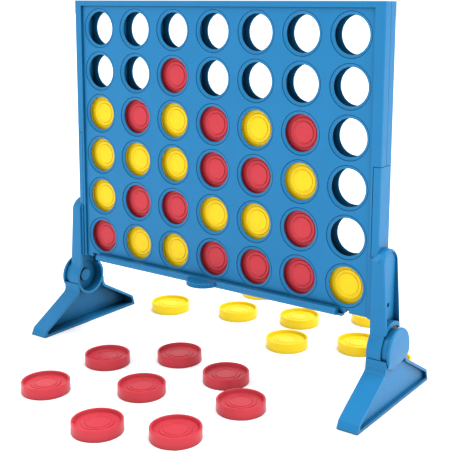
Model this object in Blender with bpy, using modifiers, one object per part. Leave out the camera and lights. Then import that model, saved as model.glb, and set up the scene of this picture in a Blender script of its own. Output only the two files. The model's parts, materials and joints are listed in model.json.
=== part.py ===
"""Tabletop four-in-a-row game: a two-shell grid, a release bar, two clip-on legs with pivoting feet, discs.

Metres, +Z up. The origin is on the floor at the middle of the whole set: x = 0 and y = 0 are the
grid's own mid-planes, +X runs to the player's right and -Y faces the player.
"""

from math import asin, atan2, cos, pi, radians, sin, tan

import bmesh
import bpy
from mathutils import Matrix, Vector

# Discs and the grid of cells
DISC_DIAMETER = 0.0319
DISC_THICKNESS = 0.0076
DISC_RIM = 0.0013
DISC_RECESS = 0.0024
DISC_DRAFT = 0.0005
DISC_SEGMENTS = 16
COLUMNS = 7
ROWS = 6
COLUMN_PITCH = 0.0360
ROW_PITCH = 0.0322
HOLE_RADIUS = 0.0125
HOLE_SEGMENTS = 12

# Grid shells
MATRIX_CENTRE_Z = 0.1558
GRID_HALF_WIDTH = 0.1318
GRID_TOP = 0.2568
GRID_BOTTOM = 0.0573
GRID_HALF_DEPTH = 0.0080
BORDER_INNER_X = 0.1250
BORDER_TOP_WIDTH = 0.0038
PANEL_OUTER_Y = 0.0062
PANEL_THICKNESS = 0.0020
RIB_THICKNESS = 0.0020
RIB_BOTTOM = 0.0594
RIB_TRIM_X = 0.1200
SHELL_PARTING = 0.00015
SHELL_STEP = 0.0001
GAP = 0.0003

# Where the legs clip on to the grid
SEAM_Z = 0.1558
STRIP_OUTER_X = 0.1267
TONGUE_OUTER_X = 0.1296
TONGUE_HALF_DEPTH = 0.0056

# Release bar
BAR_LEFT = -0.1105
BAR_RIGHT = 0.1044
BAR_TRAVEL = 0.0204
LEDGE_FRONT_Y = -0.0124
LEDGE_TOP = 0.0609
LEDGE_BOTTOM = 0.0569
RAIL_LEFT = -0.1134
RAIL_RIGHT = 0.1074
RAIL_FRONT_Y = -0.0088
RAIL_INNER_Y = 0.0044
RAIL_BOTTOM = 0.0552
RAIL_TOP = 0.0570
PIN_WIDTH = 0.0024
PIN_OFFSET = -0.0030
NUB_TOP = 0.05905
NUB_HALF_DEPTH = 0.0038
TAB_X = -0.0047
TAB_RADIUS = 0.01235
TAB_CENTRE_Y = -0.01075
KEEPER_XS = (-0.072, 0.0, 0.072)
KEEPER_WIDTH = 0.012
KEEPER_BOTTOM = 0.0536
KEEPER_TOP = 0.0623
KEEPER_ROOT = (0.0583, 0.0613)

# Leg posts
LEG_INNER_X = 0.1288
SLEEVE_BOTTOM = 0.0968
SLEEVE_LIP_X = 0.1270
POST_HALF_DEPTH = 0.0104
POST_TOP_X = 0.1373
POST_TAPER = 0.068
POST_CHAMFER = 0.0024
ARCH_SPRING_Z = 0.0953
ARCH_RISE = 0.0078
TRAY_FLOOR_X = 0.1362
TRAY_RIM = 0.0018
POCKET_FLOOR_X = 0.1349
POCKET_TOP = 0.0920
POCKET_HALF_DEPTH = 0.0084
COLLAR_RADIUS = 0.0182
WINDOW_Z = 0.0663
WINDOW_SIZE = 0.0026

# Foot pivot
HUB_Z = 0.0377
HUB_RADIUS = 0.0150
DRUM_RADIUS = 0.0143
DRUM_OUTER_X = 0.1387
DRUM_WALL = 0.0020
DRUM_WEB_X = 0.1367
SADDLE_RADIUS = 0.0154
HUB_FACE_X = 0.1455
PIN_RADIUS = 0.0030
PIN_HEAD_RADIUS = 0.0050
PIN_HEAD_INNER_X = 0.1346
PIN_HEAD_THICKNESS = 0.0018
PIN_END_X = 0.1425
ROUND_SEGMENTS = 32
BORE_SEGMENTS = 16

# Feet
FOOT_OUTER_X = 0.1434
FOOT_WEB_INNER_X = 0.1391
FOOT_WEB_OUTER_X = 0.1411
FOOT_WALL = 0.0020
FOOT_NECK = 0.0146
FOOT_WALL_TOP = 0.0340
FRONT_BEND_Z = 0.0270
REAR_BEND_Z = 0.0276
FRONT_TOE = ((-0.0480, 0.0058), (-0.0510, 0.0))
REAR_TOE = ((0.0514, 0.0), (0.0488, 0.0082))
FRONT_FILLET = 0.0045
REAR_FILLET = 0.0065
TOE_ROUND = 0.0024

# Discs in the grid, one word per column from the left, each read upwards from the bottom cell
COLUMN_STACKS = ("RYYY", "YRYR", "YRYYR", "RYRR", "RYRY", "RRYR", "Y")

# Centres of the loose discs on the floor
LOOSE_RED = (
    (-0.0563, -0.1143),
    (-0.0564, -0.0563),
    (-0.0177, -0.0223),
    (-0.0019, -0.0803),
    (0.0320, -0.0326),
    (0.0125, -0.1355),
    (0.0566, -0.1151),
    (0.0659, -0.0621),
)
LOOSE_YELLOW = (
    (-0.0948, 0.0587),
    (-0.0388, 0.0786),
    (-0.0557, 0.1355),
    (0.0116, 0.0942),
    (0.0310, 0.0456),
    (0.0779, 0.0720),
    (0.0572, 0.1317),
    (0.1110, 0.0560),
)

BLUE = (0.035, 0.210, 0.560, 1.0)
RED = (0.640, 0.030, 0.050, 1.0)
YELLOW = (0.900, 0.680, 0.020, 1.0)

# How far cutters run past a surface, how far joined solids reach into each other, and the distance
# under which neighbouring points count as one
OVERRUN = 0.004
BITE = 0.001
NUDGE = 0.0001
WELD = 0.000001


def clear_scene():
    for item in list(bpy.data.objects):
        bpy.data.objects.remove(item, do_unlink=True)


def new_collection(name):
    collection = bpy.data.collections.new(name)
    bpy.context.scene.collection.children.link(collection)
    return collection


def new_material(name, color, roughness):
    material = bpy.data.materials.new(name)
    material.use_nodes = True
    shader = material.node_tree.nodes["Principled BSDF"]
    shader.inputs["Base Color"].default_value = color
    shader.inputs["Roughness"].default_value = roughness
    shader.inputs["Metallic"].default_value = 0.0
    return material


clear_scene()
PARTS = new_collection("four_in_a_row")
CUTTERS = new_collection("cutters")


# ---------------------------------------------------------------- basic solids

def add_object(name, mesh):
    """A new object in the cutters' collection, where it stays unless keep() moves it to the parts."""
    item = bpy.data.objects.new(name, mesh)
    CUTTERS.objects.link(item)
    item.hide_render = True
    item.display_type = "WIRE"
    return item


def box(name, x, y, z):
    """A box from three (low, high) pairs, in either order."""
    mesh = bpy.data.meshes.new(name)
    bm = bmesh.new()
    bmesh.ops.create_cube(bm, size=1.0)
    size = Vector([abs(pair[1] - pair[0]) for pair in (x, y, z)])
    centre = Vector([(pair[1] + pair[0]) / 2 for pair in (x, y, z)])
    bmesh.ops.scale(bm, vec=size, verts=bm.verts)
    bmesh.ops.translate(bm, vec=centre, verts=bm.verts)
    bm.to_mesh(mesh)
    bm.free()
    return add_object(name, mesh)


def cylinder(name, axis, centre, radius, start, end, segments=ROUND_SEGMENTS):
    """A cylinder along X or Z between start and end; centre gives its other two coordinates."""
    mesh = bpy.data.meshes.new(name)
    bm = bmesh.new()
    middle = (start + end) / 2
    if axis == "X":
        place = Matrix.Translation((middle, centre[0], centre[1])) @ Matrix.Rotation(pi / 2, 4, "Y")
    else:
        place = Matrix.Translation((centre[0], centre[1], middle))
    bmesh.ops.create_cone(bm, cap_ends=True, segments=segments, radius1=radius, radius2=radius,
                          depth=abs(end - start), matrix=place)
    bm.to_mesh(mesh)
    bm.free()
    return add_object(name, mesh)


def plate(name, plane, outline, start, end):
    """A flat outline in the XY, XZ or YZ plane, filled and given its thickness along the third axis."""
    curve = bpy.data.curves.new(name, "CURVE")
    curve.dimensions = "2D"
    curve.fill_mode = "BOTH"
    curve.extrude = abs(end - start) / 2
    spline = curve.splines.new("POLY")
    spline.points.add(len(outline) - 1)
    spline.use_cyclic_u = True
    for point, (u, v) in zip(spline.points, outline):
        point.co = (u, v, 0.0, 1.0)
    flat = bpy.data.objects.new(name + "_outline", curve)
    CUTTERS.objects.link(flat)
    middle = (start + end) / 2
    if plane == "XY":
        flat.matrix_world = Matrix.Translation((0.0, 0.0, middle))
    elif plane == "XZ":
        turn = Matrix.Rotation(pi / 2, 4, "X")
        flat.matrix_world = Matrix.Translation((0.0, middle, 0.0)) @ turn
    else:
        turn = Matrix(((0, 0, 1, 0), (1, 0, 0, 0), (0, 1, 0, 0), (0, 0, 0, 1)))
        flat.matrix_world = Matrix.Translation((middle, 0.0, 0.0)) @ turn
    bpy.context.view_layer.update()
    evaluated = flat.evaluated_get(bpy.context.evaluated_depsgraph_get())
    mesh = bpy.data.meshes.new_from_object(evaluated)
    bm = bmesh.new()
    bm.from_mesh(mesh)
    bmesh.ops.remove_doubles(bm, verts=bm.verts, dist=WELD)
    bmesh.ops.dissolve_limit(bm, angle_limit=radians(0.1), verts=bm.verts, edges=bm.edges)
    bm.to_mesh(mesh)
    bm.free()
    solid = add_object(name, mesh)
    solid.matrix_world = flat.matrix_world.copy()
    bpy.data.objects.remove(flat)
    return solid


def boolean(target, other, operation):
    modifier = target.modifiers.new(other.name, "BOOLEAN")
    modifier.operation = operation
    modifier.solver = "EXACT"
    modifier.object = other


def join(target, *others):
    for other in others:
        boolean(target, other, "UNION")


def cut(target, *others):
    for other in others:
        boolean(target, other, "DIFFERENCE")


def keep(item, material, origin=(0.0, 0.0, 0.0), parent=None):
    """Make a solid one of the parts, with its origin moved to a chosen point."""
    CUTTERS.objects.unlink(item)
    PARTS.objects.link(item)
    item.hide_render = False
    item.display_type = "TEXTURED"
    item.data.materials.clear()
    item.data.materials.append(material)
    item.data.transform(Matrix.Translation(-Vector(origin)) @ item.matrix_world)
    item.matrix_world = Matrix.Identity(4)
    if parent is None:
        item.location = origin
    else:
        item.parent = parent
        item.location = Vector(origin) - parent.location
    item.data.shade_smooth()
    item.data.set_sharp_from_angle(angle=radians(30))


# ---------------------------------------------------------------- outlines

def rounded(points, radii, segments=4):
    """A closed outline whose corners are replaced by arcs of the given radii (0 keeps a corner)."""
    result = []
    for index, (corner, radius) in enumerate(zip(points, radii)):
        if radius == 0:
            result.append(corner)
            continue
        here = Vector(corner)
        before = (Vector(points[index - 1]) - here).normalized()
        after = (Vector(points[(index + 1) % len(points)]) - here).normalized()
        half = before.angle(after) / 2
        centre = here + (before + after).normalized() * (radius / sin(half))
        first = here + before * (radius / tan(half)) - centre
        last = here + after * (radius / tan(half)) - centre
        sweep = atan2(first.x * last.y - first.y * last.x, first.dot(last))
        for step in range(segments + 1):
            turned = Matrix.Rotation(sweep * step / segments, 2) @ first
            result.append(tuple(centre + turned))
    return result


def inset(points, distance):
    """A counter-clockwise outline moved inwards by the same distance on every edge."""
    result = []
    for index, point in enumerate(points):
        here = Vector(point)
        before = (here - Vector(points[index - 1])).normalized()
        after = (Vector(points[(index + 1) % len(points)]) - here).normalized()
        normal_a = Vector((-before.y, before.x))
        normal_b = Vector((-after.y, after.x))
        shift = (normal_a + normal_b) * (distance / (1 + normal_a.dot(normal_b)))
        result.append(tuple(here + shift))
    return result


def arch_outline(half_width, spring_z, rise, bottom_z, segments=12):
    """Straight sides up to the spring line and a segmental arch above it."""
    radius = (half_width ** 2 + rise ** 2) / (2 * rise)
    centre_z = spring_z + rise - radius
    reach = asin(half_width / radius)
    points = [(-half_width, bottom_z), (half_width, bottom_z)]
    for step in range(segments + 1):
        angle = reach - 2 * reach * step / segments
        points.append((radius * sin(angle), centre_z + radius * cos(angle)))
    return points


def foot_outline():
    """The foot from the side, counter-clockwise: flat base, sloping toes, upright neck."""
    rear = [*REAR_TOE, (FOOT_NECK, REAR_BEND_Z), (FOOT_NECK, FOOT_WALL_TOP)]
    front = [(-FOOT_NECK, FOOT_WALL_TOP), (-FOOT_NECK, FRONT_BEND_Z), *FRONT_TOE]
    return rear + front


FOOT_RADII = (0, TOE_ROUND, REAR_FILLET, 0, 0, FRONT_FILLET, TOE_ROUND, 0)


# ---------------------------------------------------------------- grid

def cell_centre(column, row):
    """Centre of a cell; column 0 is at the left, row 0 at the bottom."""
    x = (column - (COLUMNS - 1) / 2) * COLUMN_PITCH
    z = MATRIX_CENTRE_Z + (row - (ROWS - 1) / 2) * ROW_PITCH
    return x, z


def shell_section(facing):
    """Plan of one shell: panel, ribs on the rear one, and at each end the strip and tongue for a leg."""
    low_y = facing * (SHELL_PARTING + SHELL_STEP)
    panel_in = facing * (PANEL_OUTER_Y - PANEL_THICKNESS)
    outer_y = facing * (GRID_HALF_DEPTH - SHELL_STEP)
    tongue_y = facing * TONGUE_HALF_DEPTH
    side = BORDER_INNER_X + SHELL_STEP
    section = [(-TONGUE_OUTER_X, low_y), (-side, low_y), (-side, panel_in)]
    if facing > 0:
        rib_y = GAP - panel_in
        for divider in range(1, COLUMNS):
            x = (divider - COLUMNS / 2) * COLUMN_PITCH
            section += [(x - RIB_THICKNESS / 2, panel_in), (x - RIB_THICKNESS / 2, rib_y),
                        (x + RIB_THICKNESS / 2, rib_y), (x + RIB_THICKNESS / 2, panel_in)]
    section += [(side, panel_in), (side, low_y), (TONGUE_OUTER_X, low_y)]
    for end in (1, -1):
        outer = [(TONGUE_OUTER_X, tongue_y), (STRIP_OUTER_X, tongue_y + facing * SHELL_STEP),
                 (STRIP_OUTER_X, outer_y), (side, outer_y), (side, facing * PANEL_OUTER_Y)]
        section += [(end * x, y) for x, y in outer[::end]]
    return section


def make_shell(name, facing):
    """One half of the grid: a pierced panel in a raised border. facing is -1 in front, +1 behind."""
    outer_y = facing * GRID_HALF_DEPTH
    shell = plate(name, "XY", shell_section(facing), GRID_BOTTOM, GRID_TOP - 2 * SHELL_STEP)
    side = BORDER_INNER_X + BITE
    bar_y = (facing * (PANEL_OUTER_Y - PANEL_THICKNESS / 2), outer_y)
    join(shell, box(name + "_top_bar", (-side, side), bar_y, (GRID_TOP - BORDER_TOP_WIDTH, GRID_TOP)))
    for end in (-1, 1):
        join(shell, box(name + "_border", (end * BORDER_INNER_X, end * GRID_HALF_WIDTH),
                        (facing * SHELL_PARTING, outer_y), (SEAM_Z, GRID_TOP)))
    if facing > 0:
        rib_y = PANEL_OUTER_Y - PANEL_THICKNESS - 2 * SHELL_STEP
        cut(shell, box(name + "_rib_trim", (-RIB_TRIM_X, RIB_TRIM_X), (-GRID_HALF_DEPTH, rib_y),
                       (GRID_BOTTOM - OVERRUN, RIB_BOTTOM)))
    last_nub_x = cell_centre(COLUMNS - 1, 0)[0] + PIN_OFFSET + PIN_WIDTH / 2 + BAR_TRAVEL
    cut(shell, box(name + "_nub_room", (BORDER_INNER_X - BITE, last_nub_x + GAP),
                   (-facing * BITE, facing * (NUB_HALF_DEPTH + GAP)), (GRID_BOTTOM - OVERRUN, NUB_TOP + GAP)))
    centres = [cell_centre(column, row) for column in range(COLUMNS) for row in range(ROWS)]
    cut(shell, punches(name + "_holes", centres))
    return shell


def punches(name, centres):
    """One cutter for all the round holes."""
    mesh = bpy.data.meshes.new(name)
    bm = bmesh.new()
    for x, z in centres:
        place = Matrix.Translation((x, 0.0, z)) @ Matrix.Rotation(pi / 2, 4, "X")
        bmesh.ops.create_cone(bm, cap_ends=True, segments=HOLE_SEGMENTS, radius1=HOLE_RADIUS,
                              radius2=HOLE_RADIUS, depth=4 * GRID_HALF_DEPTH, matrix=place)
    bm.to_mesh(mesh)
    bm.free()
    return add_object(name, mesh)


def add_keepers(shell):
    """Hooks below the rear panel that carry the release bar's rear rail."""
    inside_wall = GRID_HALF_DEPTH - GAP
    for x in KEEPER_XS:
        width = (x - KEEPER_WIDTH / 2, x + KEEPER_WIDTH / 2)
        join(shell, box("keeper_wall", width, (PANEL_OUTER_Y + GAP, GRID_HALF_DEPTH),
                        (KEEPER_BOTTOM, KEEPER_TOP)))
        join(shell, box("keeper_root", width, (PANEL_OUTER_Y - PANEL_THICKNESS / 2, inside_wall),
                        KEEPER_ROOT))
        join(shell, box("keeper_shelf", width, (RAIL_INNER_Y, inside_wall),
                        (KEEPER_BOTTOM + NUDGE, RAIL_BOTTOM - GAP)))


# ---------------------------------------------------------------- release bar

def make_bar():
    """Front ledge with a round finger tab, and an open frame whose pins hold the seven columns."""
    ledge_back = -PANEL_OUTER_Y - GAP
    bar = box("release_bar", (BAR_LEFT, BAR_RIGHT), (LEDGE_FRONT_Y, ledge_back), (LEDGE_BOTTOM, LEDGE_TOP))
    tab = cylinder("finger_tab", "Z", (TAB_X, TAB_CENTRE_Y), TAB_RADIUS, LEDGE_BOTTOM + NUDGE,
                   LEDGE_TOP - GAP)
    reach = TAB_RADIUS + OVERRUN
    cut(tab, box("tab_trim", (TAB_X - reach, TAB_X + reach), (ledge_back - BITE / 2, TAB_CENTRE_Y + reach),
                 (LEDGE_BOTTOM - OVERRUN, LEDGE_TOP + OVERRUN)))
    riser = box("riser", (BAR_LEFT + BITE, BAR_RIGHT - BITE), (RAIL_FRONT_Y, ledge_back - NUDGE),
                (RAIL_BOTTOM, LEDGE_BOTTOM + 2 * BITE))
    rails = (RAIL_LEFT, RAIL_RIGHT)
    front_rail = box("front_rail", rails, (RAIL_FRONT_Y + BITE / 2, -RAIL_INNER_Y),
                     (RAIL_BOTTOM + NUDGE, RAIL_TOP))
    rear_rail = box("rear_rail", rails, (RAIL_INNER_Y, PANEL_OUTER_Y), (RAIL_BOTTOM, RAIL_TOP))
    join(bar, tab, riser, front_rail)
    for column in range(COLUMNS):
        x = cell_centre(column, 0)[0] + PIN_OFFSET
        width = (x - PIN_WIDTH / 2, x + PIN_WIDTH / 2)
        pin = box("pin", width, (-RAIL_INNER_Y - BITE, RAIL_INNER_Y + BITE),
                  (RAIL_BOTTOM + 2 * NUDGE, RAIL_TOP - NUDGE))
        join(pin, box("nub", width, (-NUB_HALF_DEPTH, NUB_HALF_DEPTH), (RAIL_BOTTOM + BITE, NUB_TOP)))
        join(bar, pin)
    join(bar, rear_rail)
    return bar


# ---------------------------------------------------------------- legs, feet and pivot pins

def make_post(name, end):
    """A leg: a sleeve that clips on the grid's tongue, a hollow post and a drum for the foot's pivot."""
    axis = (0.0, HUB_Z)
    inside_x = end * (SLEEVE_LIP_X - OVERRUN)
    taper_x = POST_TOP_X + POST_TAPER * (SLEEVE_BOTTOM - HUB_Z)
    arch = arch_outline(POST_HALF_DEPTH, ARCH_SPRING_Z, ARCH_RISE, HUB_Z)
    post = plate(name, "YZ", arch, end * (GRID_HALF_WIDTH - BITE), end * (taper_x + OVERRUN))
    wedge_top = ARCH_SPRING_Z + ARCH_RISE + OVERRUN
    wedge_top_x = POST_TOP_X - POST_TAPER * (wedge_top - SLEEVE_BOTTOM)
    side = [(LEG_INNER_X, HUB_Z - OVERRUN), (taper_x, HUB_Z), (POST_TOP_X, SLEEVE_BOTTOM),
            (wedge_top_x, wedge_top), (LEG_INNER_X, wedge_top)]
    wedge_y = POST_HALF_DEPTH + OVERRUN
    wedge = plate(name + "_wedge", "XZ", [(end * x, z) for x, z in side][::end], -wedge_y, wedge_y)
    boolean(post, wedge, "INTERSECT")

    shoulder_z = SLEEVE_BOTTOM + POST_CHAMFER
    core = [(-POST_HALF_DEPTH, HUB_Z), (POST_HALF_DEPTH, HUB_Z), (POST_HALF_DEPTH, SLEEVE_BOTTOM),
            (GRID_HALF_DEPTH, shoulder_z), (-GRID_HALF_DEPTH, shoulder_z), (-POST_HALF_DEPTH, SLEEVE_BOTTOM)]
    inner = plate(name + "_core", "YZ", core, end * LEG_INNER_X, end * (GRID_HALF_WIDTH + 2 * BITE))
    sleeve = box(name + "_sleeve", (end * SLEEVE_LIP_X, end * GRID_HALF_WIDTH),
                 (-GRID_HALF_DEPTH, GRID_HALF_DEPTH), (SLEEVE_BOTTOM - BITE, SEAM_Z - GAP))
    drum = cylinder(name + "_drum", "X", axis, DRUM_RADIUS, end * LEG_INNER_X, end * DRUM_OUTER_X)
    join(post, inner, sleeve, drum)

    saddle = cylinder(name + "_saddle", "X", axis, SADDLE_RADIUS, end * DRUM_OUTER_X,
                      end * (HUB_FACE_X + OVERRUN))
    tray_arch = arch_outline(POST_HALF_DEPTH - TRAY_RIM, ARCH_SPRING_Z, ARCH_RISE - TRAY_RIM, HUB_Z)
    tray = plate(name + "_tray", "YZ", tray_arch, end * TRAY_FLOOR_X, end * (taper_x + OVERRUN))
    cut(tray, cylinder(name + "_collar", "X", axis, COLLAR_RADIUS, end * (TRAY_FLOOR_X - BITE),
                       end * (taper_x + 2 * OVERRUN)))
    tongue_y = TONGUE_HALF_DEPTH + GAP
    tongue_room = box(name + "_tongue_room", (inside_x, end * (TONGUE_OUTER_X + GAP)), (-tongue_y, tongue_y),
                      (GRID_BOTTOM - 2 * BITE, SEAM_Z + OVERRUN))
    pocket = box(name + "_pocket", (inside_x, end * POCKET_FLOOR_X), (-POCKET_HALF_DEPTH, POCKET_HALF_DEPTH),
                 (HUB_Z, POCKET_TOP))
    drum_room = cylinder(name + "_drum_room", "X", axis, DRUM_RADIUS - DRUM_WALL, inside_x, end * DRUM_WEB_X)
    window = box(name + "_window", (end * (POCKET_FLOOR_X - BITE), end * (TRAY_FLOOR_X + BITE)),
                 (-WINDOW_SIZE / 2, WINDOW_SIZE / 2),
                 (WINDOW_Z - WINDOW_SIZE / 2, WINDOW_Z + WINDOW_SIZE / 2))
    bore = cylinder(name + "_bore", "X", axis, PIN_RADIUS + GAP, end * (DRUM_WEB_X - OVERRUN),
                    end * (DRUM_OUTER_X + OVERRUN), BORE_SEGMENTS)
    cut(post, saddle, tray, tongue_room, pocket, drum_room, window, bore)
    return post


def make_foot(name, end):
    """A foot: a tray open to the inside, with a recessed outer web and the hub's cover disc."""
    axis = (0.0, HUB_Z)
    inside_x = end * (LEG_INNER_X - OVERRUN)
    outline = foot_outline()
    foot = plate(name, "YZ", rounded(outline, FOOT_RADII), end * LEG_INNER_X, end * FOOT_OUTER_X)
    hollow = plate(name + "_hollow", "YZ", inset(outline, FOOT_WALL), inside_x, end * FOOT_WEB_INNER_X)
    drum_room = cylinder(name + "_drum_room", "X", axis, DRUM_RADIUS + GAP, inside_x, end * FOOT_WEB_INNER_X)
    face = plate(name + "_face", "YZ", inset(outline, FOOT_WALL), end * FOOT_WEB_OUTER_X,
                 end * (FOOT_OUTER_X + OVERRUN))
    cut(foot, hollow, drum_room, face)
    hub = cylinder(name + "_hub", "X", axis, HUB_RADIUS, end * FOOT_WEB_INNER_X, end * HUB_FACE_X)
    bore = cylinder(name + "_bore", "X", axis, PIN_RADIUS + GAP, end * (FOOT_WEB_INNER_X - OVERRUN),
                    end * (PIN_END_X + GAP), BORE_SEGMENTS)
    join(foot, hub)
    cut(foot, bore)
    return foot


def make_pin(name, end):
    """The pivot pin, pushed in from the inside and held by the foot's hub."""
    axis = (0.0, HUB_Z)
    pin = cylinder(name, "X", axis, PIN_RADIUS, end * (PIN_HEAD_INNER_X + BITE / 2), end * PIN_END_X,
                   BORE_SEGMENTS)
    join(pin, cylinder(name + "_head", "X", axis, PIN_HEAD_RADIUS, end * PIN_HEAD_INNER_X,
                       end * (PIN_HEAD_INNER_X + PIN_HEAD_THICKNESS), BORE_SEGMENTS))
    return pin


# ---------------------------------------------------------------- discs

def disc_mesh(name, material):
    """Half section of a disc with the same recess and thin rim on both faces, to be turned about Z."""
    radius = DISC_DIAMETER / 2
    top = DISC_THICKNESS / 2
    floor = top - DISC_RECESS
    upper = [(0.0, floor), (radius - DISC_RIM - DISC_DRAFT, floor), (radius - DISC_RIM, top), (radius, top)]
    points = upper + [(x, -z) for x, z in reversed(upper)]
    mesh = bpy.data.meshes.new(name)
    edges = [(index, index + 1) for index in range(len(points) - 1)]
    mesh.from_pydata([(x, 0.0, z) for x, z in points], edges, [])
    mesh.materials.append(material)
    return mesh


def add_disc(name, mesh, location, standing):
    disc = bpy.data.objects.new(name, mesh)
    PARTS.objects.link(disc)
    disc.location = location
    if standing:
        disc.rotation_euler = (pi / 2, 0.0, 0.0)
    turn = disc.modifiers.new("turn", "SCREW")
    turn.axis = "Z"
    turn.angle = 2 * pi
    turn.steps = DISC_SEGMENTS
    turn.render_steps = DISC_SEGMENTS
    turn.use_merge_vertices = True
    turn.merge_threshold = 10 * WELD
    turn.use_smooth_shade = False


def make_discs():
    meshes = {
        "R": ("red", disc_mesh("red_disc_profile", new_material("red_plastic", RED, 0.35))),
        "Y": ("yellow", disc_mesh("yellow_disc_profile", new_material("yellow_plastic", YELLOW, 0.35))),
    }
    for column, stack in enumerate(COLUMN_STACKS):
        for row, letter in enumerate(stack):
            color, mesh = meshes[letter]
            x, z = cell_centre(column, row)
            add_disc(f"{color}_disc_c{column + 1}_r{row + 1}", mesh, (x, 0.0, z), True)
    for letter, places in (("R", LOOSE_RED), ("Y", LOOSE_YELLOW)):
        color, mesh = meshes[letter]
        for number, (x, y) in enumerate(places, 1):
            add_disc(f"{color}_disc_loose_{number}", mesh, (x, y, DISC_THICKNESS / 2), False)


# ---------------------------------------------------------------- assembly

def build():
    front = make_shell("grid_front_shell", -1)
    keep(front, new_material("front_shell_blue", BLUE, 0.4))
    rear = make_shell("grid_rear_shell", 1)
    add_keepers(rear)
    keep(rear, new_material("rear_shell_blue", BLUE, 0.4))
    keep(make_bar(), new_material("bar_blue", BLUE, 0.4), (TAB_X, TAB_CENTRE_Y, LEDGE_TOP))
    for word, end in (("left", -1), ("right", 1)):
        keep(make_post(word + "_leg_post", end), new_material(word + "_post_blue", BLUE, 0.4),
             (end * GRID_HALF_WIDTH, 0.0, SEAM_Z))
        axis = bpy.data.objects.new(word + "_foot_axis", None)
        PARTS.objects.link(axis)
        axis.location = (end * FOOT_OUTER_X, 0.0, HUB_Z)
        keep(make_foot(word + "_foot", end), new_material(word + "_foot_blue", BLUE, 0.4),
             axis.location, axis)
        keep(make_pin(word + "_pivot_pin", end), new_material(word + "_pin_blue", BLUE, 0.4),
             axis.location, axis)
    make_discs()


build()
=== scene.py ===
"""Finished look of the tabletop four-in-a-row game: moulded shells, legs, release bar and discs."""

import json
from math import asin, atan2, cos, inf, pi, radians, sin, tan

import bmesh
import bpy
from mathutils import Matrix, Vector


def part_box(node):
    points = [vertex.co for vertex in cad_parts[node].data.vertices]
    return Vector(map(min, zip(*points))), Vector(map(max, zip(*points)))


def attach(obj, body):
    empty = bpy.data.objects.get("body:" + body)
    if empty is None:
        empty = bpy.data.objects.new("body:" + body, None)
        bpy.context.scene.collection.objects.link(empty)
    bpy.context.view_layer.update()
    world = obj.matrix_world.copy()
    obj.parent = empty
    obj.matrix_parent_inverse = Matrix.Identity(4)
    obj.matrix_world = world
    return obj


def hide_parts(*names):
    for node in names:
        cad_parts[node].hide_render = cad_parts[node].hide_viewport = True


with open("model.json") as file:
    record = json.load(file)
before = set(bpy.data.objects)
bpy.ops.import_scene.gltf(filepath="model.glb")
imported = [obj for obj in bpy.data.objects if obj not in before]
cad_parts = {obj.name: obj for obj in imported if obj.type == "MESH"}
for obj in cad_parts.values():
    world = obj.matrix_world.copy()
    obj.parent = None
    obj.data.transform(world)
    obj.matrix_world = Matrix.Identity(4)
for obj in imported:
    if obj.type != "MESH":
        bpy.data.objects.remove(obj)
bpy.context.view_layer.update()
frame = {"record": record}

MM = 0.001

# Camera, at the photograph's viewing angle, in metres and degrees
CAMERA_PLACE = (0.37542, -0.49225, 0.25056)
CAMERA_AZIMUTH = 34.433
CAMERA_ELEVATION = 9.461
CAMERA_ROLL = 0.523
CAMERA_LENS = 70.58
CAMERA_SENSOR = 36.0
CAMERA_CLIP = (0.01, 50.0)
CAMERA_SHIFT = (-0.08, -0.15)

# Everything below is in millimetres. Grid
COLUMNS = 7
ROWS = 6
COLUMN_PITCH = 36.0
ROW_PITCH = 32.2
MATRIX_CENTRE_Z = 155.8
HOLE_RADIUS = 12.5
RING_RADIUS = 14.8
RING_GROOVE = ((0.25, 0.0), (0.10, 0.10), (-0.05, 0.60), (-0.25, 0.62), (-0.45, 0.40))
HOLE_LIP = ((0.40, 0.95), (0.10, 1.08), (0.0, 1.3))
CELL_STEPS = 8
GRID_HALF_WIDTH = 131.8
GRID_TOP = 256.8
GRID_BOTTOM = 57.3
GRID_HALF_DEPTH = 8.0
BORDER_INNER_X = 125.0
BORDER_TOP_WIDTH = 3.8
PANEL_OUTER_Y = 6.2
PANEL_INNER_Y = 4.2
SEAM_Z = 155.8
STRIP_OUTER_X = 126.7
TONGUE_OUTER_X = 129.6
TONGUE_HALF_DEPTH = 5.6
PARTING = 0.15
CORNER_RADIUS = 1.8
BORDER_EDGE = 0.45
RIB_HALF_WIDTH = 1.0
RIB_BOTTOM = 59.4
RIB_TOP = 255.3
PANEL_NOTCHES = ((108.8, 111.4), (-119.6, -115.2))
NOTCH_HEIGHT = 2.8
KEEPER_XS = (-72.0, 0.0, 72.0)
KEEPER_HALF_WIDTH = 6.0
KEEPER_HEIGHT = (53.6, 62.3)
KEEPER_ROOT = (58.3, 61.3)
GAP = 0.3
STEP_ABOVE = 0.05

# Release bar
BAR_ENDS = (-110.5, 104.4)
RAIL_ENDS = (-113.4, 107.4)
LEDGE_FRONT_Y = -12.4
LEDGE_BACK_Y = -6.5
LEDGE_TOP = 60.9
LEDGE_BOTTOM = 56.9
RAIL_BOTTOM = 55.2
RAIL_TOP = 57.0
RAIL_INNER_Y = 4.4
PIN_OFFSET = -3.0
PIN_WIDTH = 2.4
NUB_TOP = 59.05
TAB_X = -4.7
TAB_CENTRE_Y = -10.75
TAB_RADIUS = 12.35
KNURLS = 66
KNURL_STEPS = 528
KNURL_DEPTH = 0.42
DIMPLE_PLACE = (-9.2, -13.4)

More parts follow.
